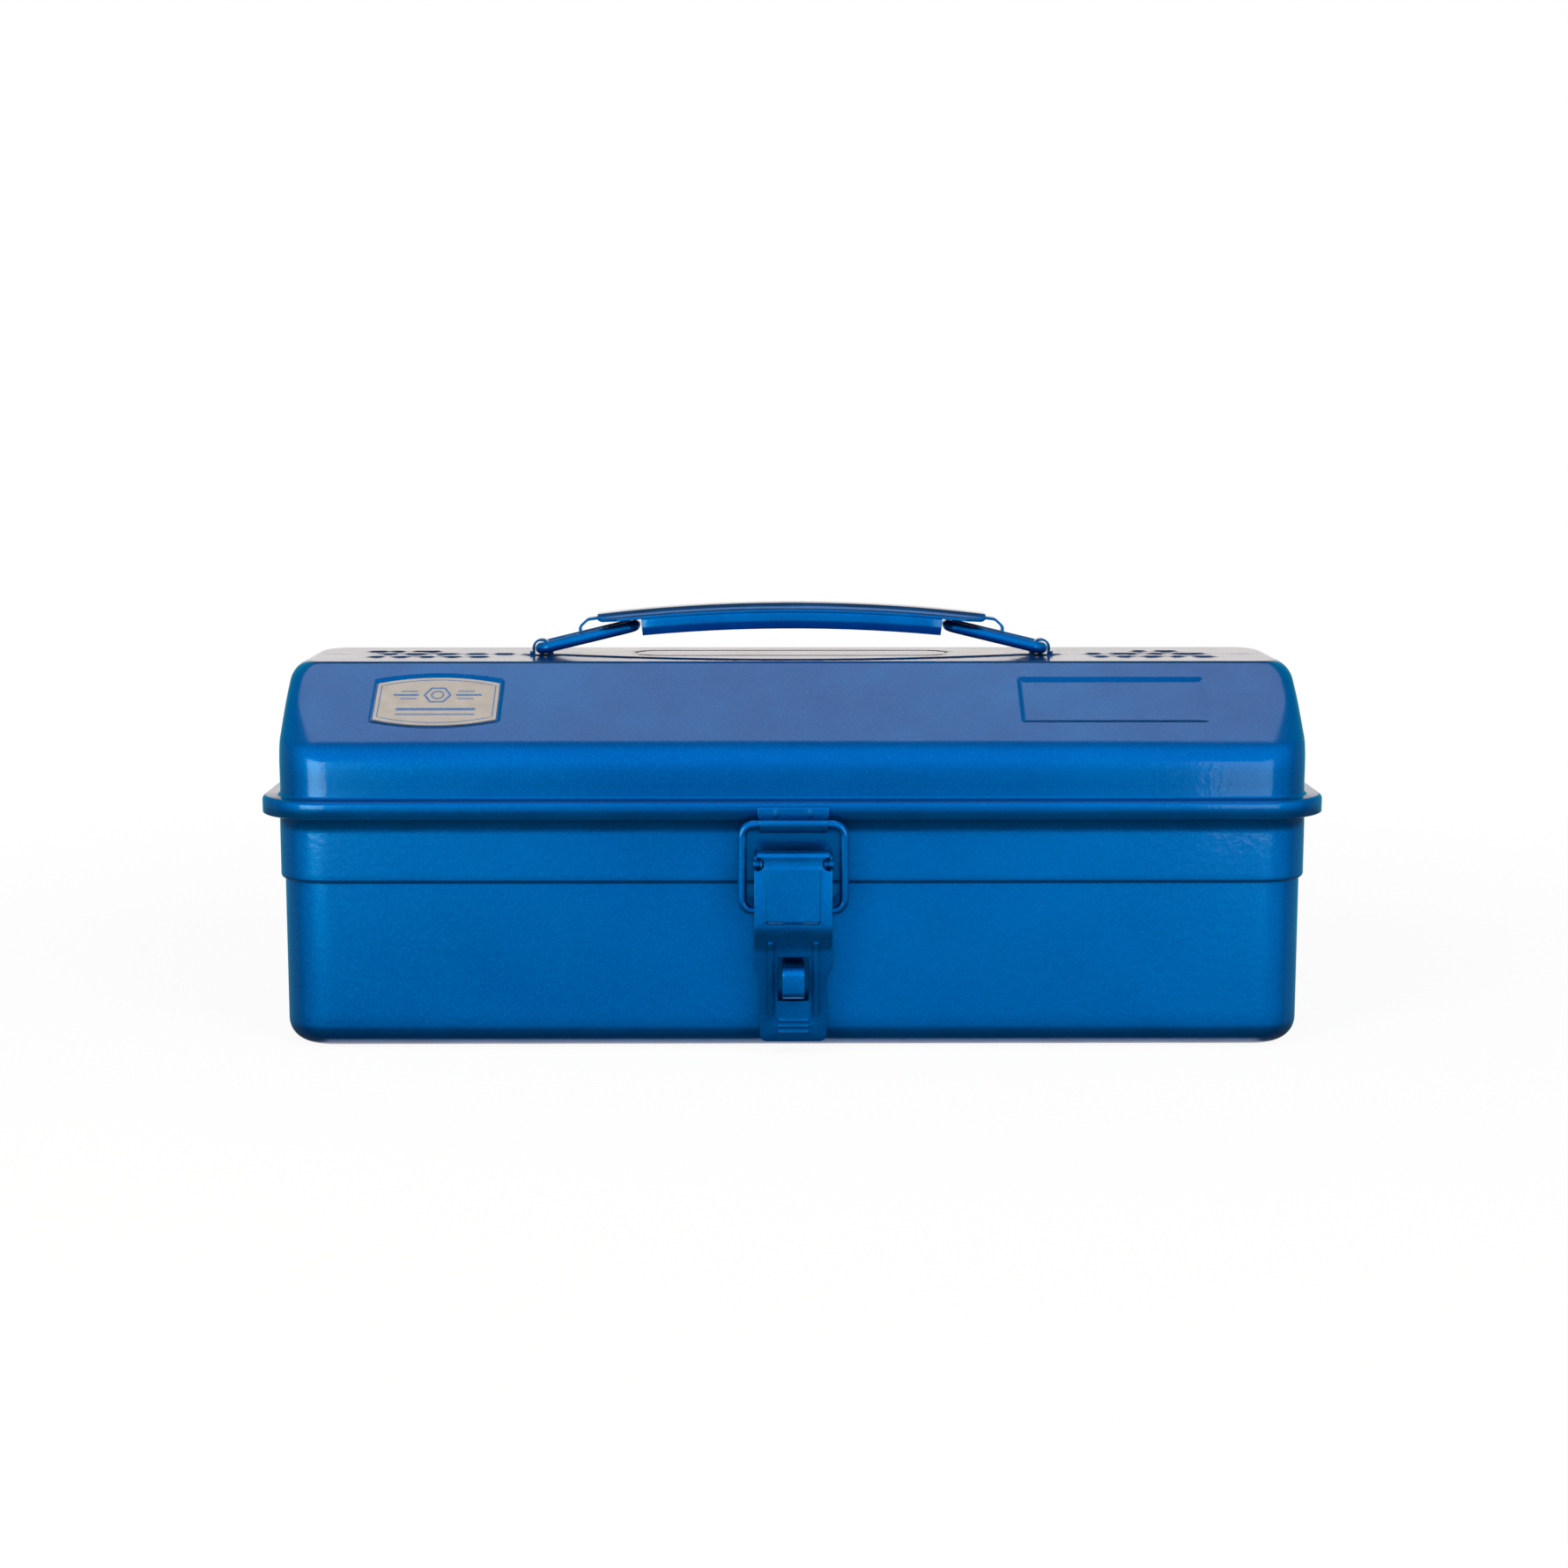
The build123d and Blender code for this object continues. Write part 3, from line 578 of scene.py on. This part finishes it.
def enamel(name, tone, deep, light, patch_scale=9.0, edge=None):
    """Glossy metallic stove enamel with fine flake under a clear coat."""
    s = Shader(name)
    patches = s.span(s.noise(patch_scale, 3.0, 0.55), 0.35, 0.65)
    colour = s.mix(patches, deep, tone)
    flake = s.span(s.cells(FLAKE), 0.55, 1.0, 0.0, FLAKE_SHARE)
    colour = s.mix(flake, colour, light)
    grain = s.span(s.noise(GRAIN, 2.0), 0.35, 0.7, 0.0, GRAIN_SHARE)
    colour = s.mix(grain, colour, deep)
    rounding = s.rounded(edge) if edge else None
    # painted highlight: edges are lightened towards the light tone
    painted_highlight = s.edge_line(rounding) if edge else s.pointy_edges(0.52, 0.60)
    colour = s.mix(s.span(painted_highlight, 0.0, 1.0, 0.0, EDGE_HIGHLIGHT_SHARE), colour, light)
    # painted shade: gaps and corners are darkened towards dark blue
    painted_shade = s.span(s.shaded_corners(SHADE_REACH), 0.0, 1.0, 0.0, SHADE_SHARE)
    colour = s.mix(painted_shade, colour, SHADE_BLUE)
    s.link(colour, s.bsdf.inputs["Base Color"])
    s.link(s.span(s.noise(60.0, 3.0), 0.3, 0.7, 0.30, 0.40), s.bsdf.inputs["Roughness"])
    s.bsdf.inputs["Metallic"].default_value = 0.85
    s.bsdf.inputs["Specular IOR Level"].default_value = 0.0
    s.bsdf.inputs["Coat Weight"].default_value = 0.8
    s.bsdf.inputs["Coat Roughness"].default_value = 0.07
    s.bsdf.inputs["Coat IOR"].default_value = 1.45
    last = s.bump([(s.noise(14.0, 2.0), 0.12, 0.004), (s.noise(420.0, 2.0), 0.10, 0.0004),
                   (s.cells(FLAKE), 0.05, 0.0002)], rounding)
    s.link(last, s.bsdf.inputs["Coat Normal"])
    return s.material


def label_material():
    s = Shader("label_cream")
    colour = s.mix(s.span(s.noise(220.0, 4.0), 0.3, 0.7), (0.34, 0.297, 0.270), (0.385, 0.340, 0.315))
    speck = s.span(s.noise(1500.0, 2.0), 0.66, 0.72, 0.0, 0.35)
    s.link(s.mix(speck, colour, (0.30, 0.34, 0.40)), s.bsdf.inputs["Base Color"])
    s.link(s.span(s.noise(90.0, 2.0), 0.3, 0.7, 0.28, 0.42), s.bsdf.inputs["Roughness"])
    s.bump([(s.noise(700.0, 2.0), 0.08, 0.0002)])
    return s.material


def ink_material():
    s = Shader("label_ink_blue")
    colour = s.mix(s.span(s.noise(1800.0, 3.0), 0.35, 0.7), (0.03, 0.10, 0.26), (0.10, 0.20, 0.40))
    s.link(colour, s.bsdf.inputs["Base Color"])
    s.link(s.span(s.noise(300.0, 2.0), 0.3, 0.7, 0.4, 0.55), s.bsdf.inputs["Roughness"])
    s.bump([(s.noise(1500.0, 2.0), 0.08, 0.0001)])
    return s.material


def steel_material():
    s = Shader("pin_steel")
    streaks = s.noise(500.0, 3.0, stretch=(0.08, 1.0, 1.0))
    s.link(s.mix(s.span(streaks, 0.3, 0.7), (0.42, 0.43, 0.45), (0.62, 0.63, 0.65)),
           s.bsdf.inputs["Base Color"])
    s.link(s.span(streaks, 0.3, 0.7, 0.28, 0.45), s.bsdf.inputs["Roughness"])
    s.bsdf.inputs["Metallic"].default_value = 1.0
    s.bump([(streaks, 0.15, 0.0002)])
    return s.material


def dress(obj, material):
    """Give a piece one material."""
    obj.data.materials.clear()
    obj.data.materials.append(material)


WELD_CAD = 0.000004
SHARP = 32.0                                # edges turning by more degrees than this are rounded
SHEET_EDGE, LEVER_EDGE = 0.26, 0.4


def soften(obj, width, segments=2):
    """Rounded sheet edges on a CAD node."""
    weld = obj.modifiers.new("weld", "WELD")
    weld.merge_threshold = WELD_CAD
    bevel = obj.modifiers.new("edge", "BEVEL")
    bevel.width = width * MM
    bevel.segments = segments
    bevel.limit_method = "ANGLE"
    bevel.angle_limit = math.radians(SHARP)
    bevel.use_clamp_overlap = True
    bevel.harden_normals = False
    for polygon in obj.data.polygons:
        polygon.use_smooth = True


# --- put the object together -----------------------------------------------------------------
def dress_nodes():
    paint = enamel("enamel_case", *CASE_BLUES)
    lid_paint = enamel("enamel_lid", *LID_BLUES)
    small_paint = enamel("enamel_fittings", *CASE_BLUES, patch_scale=60.0, edge=EDGE_R)
    steel = steel_material()
    nodes = frame["nodes"]
    for name, obj in nodes.items():
        if name.startswith("hinge_pin"):
            dress(obj, steel)
        elif name != "name_plate":
            dress(obj, small_paint)
    dress(nodes["name_plate"], label_material())
    dress(nodes["tray_pan"], paint)
    for name in ("latch_base", "strike_clip", "padlock_staple", "handle_grip",
                 "handle_bracket_left", "handle_bracket_right"):
        soften(nodes[name], SHEET_EDGE)
    soften(nodes["latch_lever"], LEVER_EDGE, segments=3)
    lid = lid_skin()
    dress(lid, lid_paint)
    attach(lid, "lid")
    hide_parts("lid_shell")
    case = case_skin()
    dress(case, paint)
    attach(case, "case")
    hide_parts("case_shell")
    ink = label_ink()
    dress(ink, ink_material())
    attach(ink, "lid")


# --- studio ----------------------------------------------------------------------------------
CAMERA_AT = (-0.008, -0.950, 0.2186)
PITCH_DOWN, TURN_RIGHT = 8.26, 0.323
LENS_MM, SENSOR_MM = 61.28, 36.0


def studio_camera():
    data = bpy.data.cameras.new("camera")
    data.lens = LENS_MM
    data.sensor_width = SENSOR_MM
    camera = bpy.data.objects.new("camera", data)
    camera.location = CAMERA_AT
    camera.rotation_euler = (math.radians(90.0 - PITCH_DOWN), 0.0, math.radians(-TURN_RIGHT))
    bpy.context.scene.collection.objects.link(camera)
    bpy.context.scene.camera = camera


def area_light(name, place, target, size, power, colour):
    data = bpy.data.lights.new(name, "AREA")
    data.shape = "RECTANGLE"
    data.size, data.size_y = size
    data.energy = power
    data.color = colour
    lamp = bpy.data.objects.new(name, data)
    lamp.location = place
    aim = Vector(target) - Vector(place)
    lamp.rotation_euler = aim.to_track_quat("-Z", "Y").to_euler()
    bpy.context.scene.collection.objects.link(lamp)
    return lamp


MIDDLE = (0.0, 0.0, 0.06)
PLAIN, WARM = (1.0, 1.0, 1.0), (1.0, 0.95, 0.55)
# name, place, target, size, power, colour
HIDDEN_LAMPS = (("front_left", (-0.75, -1.1, 1.15), MIDDLE, (0.4, 0.4), 12.0, PLAIN),
                ("front_right", (0.75, -1.1, 1.15), MIDDLE, (0.4, 0.4), 12.0, PLAIN),
                ("above", (0.0, -0.35, 1.3), MIDDLE, (1.2, 0.5), 2.0, PLAIN))
SIDE_LAMPS = (("side_left", (-0.361, -0.453, 0.13), (-0.157, -0.052, 0.08), (0.26, 0.26), 0.65, WARM),
              ("side_right", (0.311, -0.475, 0.13), (0.157, -0.052, 0.08), (0.20, 0.26), 0.25, WARM))


def studio_lights():
    """Lamps that the paint doesn't mirror, and two low ones that give the end corners a highlight."""
    for row in HIDDEN_LAMPS:
        area_light(*row).visible_glossy = False
    for row in SIDE_LAMPS:
        area_light(*row).visible_camera = False


# what the paint mirrors, by height of the direction (its sine)
MIRROR_BACK = ((0.0, 1.2), (0.16, 1.2), (0.30, 0.05), (0.78, 0.03), (0.90, 1.45), (0.955, 1.45),
               (0.985, 0.04))
MIRROR_FRONT = (-0.45, -0.08, 0.08, 0.90)   # dark floor below, bright wall above
MIRROR_HIGH = (0.12, 0.45, 0.0, 0.25)       # the wall gets a little brighter higher up
BEHIND, AHEAD = (-0.05, 0.12), (0.35, -0.55)
CENTRED = (0.19, 0.34)                      # the bright backdrop fades out between these
BACK_REST = 0.05                            # what is left of it beyond
CREAM, WHITE = (1.0, 0.93, 0.86, 1.0), (1.0, 1.0, 1.0, 1.0)
FRONT_TINT = (0.004, 0.72, 0.98, 1.0)
FRONT_TONE = 1.22
SIDE_TONE = 0.5                             # the same wall carried round the sides and back
AMBIENT = 0.30
FLOOR_HALF, FLOOR_DROP = 6.0, 0.0004        # the floor lies just under the object
FLOOR_REACH = (0.25, 0.6)
FLOOR_GLOW = (0.93, 1.0)                    # share of plain white within and beyond that reach
FLOOR_TONE = (0.8, 0.8, 0.8, 1.0)


def map_range(nodes, links, source, spans):
    """Smooth step between two input and two output values; spans is (low, high, to low, to high)."""
    node = nodes.new("ShaderNodeMapRange")
    node.interpolation_type = "SMOOTHSTEP"
    for key, value in zip(("From Min", "From Max", "To Min", "To Max"), spans):
        node.inputs[key].default_value = value
    links.new(source, node.inputs["Value"])
    return node.outputs["Result"]


def combine(nodes, links, operation, first, second):
    """One value out of two: their product, sum or maximum."""
    node = nodes.new("ShaderNodeMath")
    node.operation = operation
    links.new(first, node.inputs[0])
    links.new(second, node.inputs[1])
    return node.outputs["Value"]


def sideways(nodes, links, split):
    """How far a direction points to either side."""
    node = nodes.new("ShaderNodeMath")
    node.operation = "ABSOLUTE"
    links.new(split.outputs["X"], node.inputs[0])
    return node.outputs["Value"]


def mirror_back(nodes, links, split):
    """Brightness behind the object: bright backdrop low down, dark gap, bright top light."""
    ramp = nodes.new("ShaderNodeValToRGB")
    ramp.color_ramp.interpolation = "EASE"
    points = ramp.color_ramp.elements
    while len(points) < len(MIRROR_BACK):
        points.new(0.5)
    for point, (height, tone) in zip(points, MIRROR_BACK):
        point.position = height
        point.color = (tone, tone, tone, 1.0)
    links.new(split.outputs["Z"], ramp.inputs["Fac"])
    behind = map_range(nodes, links, split.outputs["Y"], (*BEHIND, 0.0, 1.0))
    centred = map_range(nodes, links, sideways(nodes, links, split), (*CENTRED, 1.0, BACK_REST))
    tone = combine(nodes, links, "MULTIPLY", ramp.outputs["Color"], behind)
    return combine(nodes, links, "MULTIPLY", tone, centred)


def mirror_front(nodes, links, split):
    """Brightness in front of the object: dim low down, even above the floor line."""
    wall = map_range(nodes, links, split.outputs["Z"], MIRROR_FRONT)
    high = map_range(nodes, links, split.outputs["Z"], MIRROR_HIGH)
    rise = combine(nodes, links, "ADD", wall, high)
    ahead = map_range(nodes, links, split.outputs["Y"], (*AHEAD, 0.0, FRONT_TONE))
    around = map_range(nodes, links, sideways(nodes, links, split), (*CENTRED, 0.0, SIDE_TONE))
    return combine(nodes, links, "MULTIPLY", rise, combine(nodes, links, "MAXIMUM", ahead, around))


def glow(nodes, colour, strength=1.0):
    """One even surrounding light."""
    node = nodes.new("ShaderNodeBackground")
    node.inputs["Color"].default_value = colour
    node.inputs["Strength"].default_value = strength
    return node


def studio_world():
    """White backdrop, soft even light, and a separate dark-and-bright room for reflections."""
    world = bpy.data.worlds.new("studio")
    bpy.context.scene.world = world
    world.use_nodes = True
    nodes, links = world.node_tree.nodes, world.node_tree.links
    nodes.clear()
    place = nodes.new("ShaderNodeTexCoord")
    split = nodes.new("ShaderNodeSeparateXYZ")
    links.new(place.outputs["Generated"], split.inputs["Vector"])
    back, front = glow(nodes, CREAM), glow(nodes, FRONT_TINT)
    links.new(mirror_back(nodes, links, split), back.inputs["Strength"])
    links.new(mirror_front(nodes, links, split), front.inputs["Strength"])
    mirror = nodes.new("ShaderNodeAddShader")
    links.new(back.outputs["Background"], mirror.inputs[0])
    links.new(front.outputs["Background"], mirror.inputs[1])
    soft, plain = glow(nodes, WHITE, AMBIENT), glow(nodes, WHITE)
    path = nodes.new("ShaderNodeLightPath")
    gloss = nodes.new("ShaderNodeMixShader")
    links.new(path.outputs["Is Glossy Ray"], gloss.inputs["Fac"])
    links.new(soft.outputs["Background"], gloss.inputs[1])
    links.new(mirror.outputs["Shader"], gloss.inputs[2])
    pick = nodes.new("ShaderNodeMixShader")
    links.new(path.outputs["Is Camera Ray"], pick.inputs["Fac"])
    links.new(gloss.outputs["Shader"], pick.inputs[1])
    links.new(plain.outputs["Background"], pick.inputs[2])
    output = nodes.new("ShaderNodeOutputWorld")
    links.new(pick.outputs["Shader"], output.inputs["Surface"])


def studio_floor():
    """Pale floor with a soft shadow, fading to plain white; the paint doesn't mirror it."""
    mesh = bpy.data.meshes.new("floor")
    corners = [(x * FLOOR_HALF, y * FLOOR_HALF, 0.0) for x, y in ((-1, -1), (1, -1), (1, 1), (-1, 1))]
    mesh.from_pydata(corners, [], [(0, 1, 2, 3)])
    floor = bpy.data.objects.new("floor", mesh)
    floor.location.z = -FLOOR_DROP
    bpy.context.scene.collection.objects.link(floor)
    s = Shader("pale_floor")
    path = s.nodes.new("ShaderNodeLightPath")
    s.bsdf.inputs["Base Color"].default_value = FLOOR_TONE
    s.bsdf.inputs["Roughness"].default_value = 1.0
    s.bsdf.inputs["Specular IOR Level"].default_value = 0.0
    reach = s.nodes.new("ShaderNodeVectorMath")
    reach.operation = "LENGTH"
    s.link(s.place, reach.inputs[0])
    share = map_range(s.nodes, s.links, reach.outputs["Value"], (*FLOOR_REACH, *FLOOR_GLOW))
    seen = combine(s.nodes, s.links, "MULTIPLY", share, path.outputs["Is Camera Ray"])
    white = s.nodes.new("ShaderNodeEmission")
    blend = s.nodes.new("ShaderNodeMixShader")
    s.link(seen, blend.inputs["Fac"])
    s.link(s.bsdf.outputs["BSDF"], blend.inputs[1])
    s.link(white.outputs["Emission"], blend.inputs[2])
    unseen = s.nodes.new("ShaderNodeBsdfTransparent")
    clear = s.nodes.new("ShaderNodeMixShader")
    s.link(path.outputs["Is Glossy Ray"], clear.inputs["Fac"])
    s.link(blend.outputs["Shader"], clear.inputs[1])
    s.link(unseen.outputs["BSDF"], clear.inputs[2])
    s.link(clear.outputs["Shader"], s.nodes["Material Output"].inputs["Surface"])
    dress(floor, s.material)


bpy.context.scene.view_settings.view_transform = "Standard"
dress_nodes()
studio_camera()
studio_lights()
studio_world()
studio_floor()

bpy.context.view_layer.update()
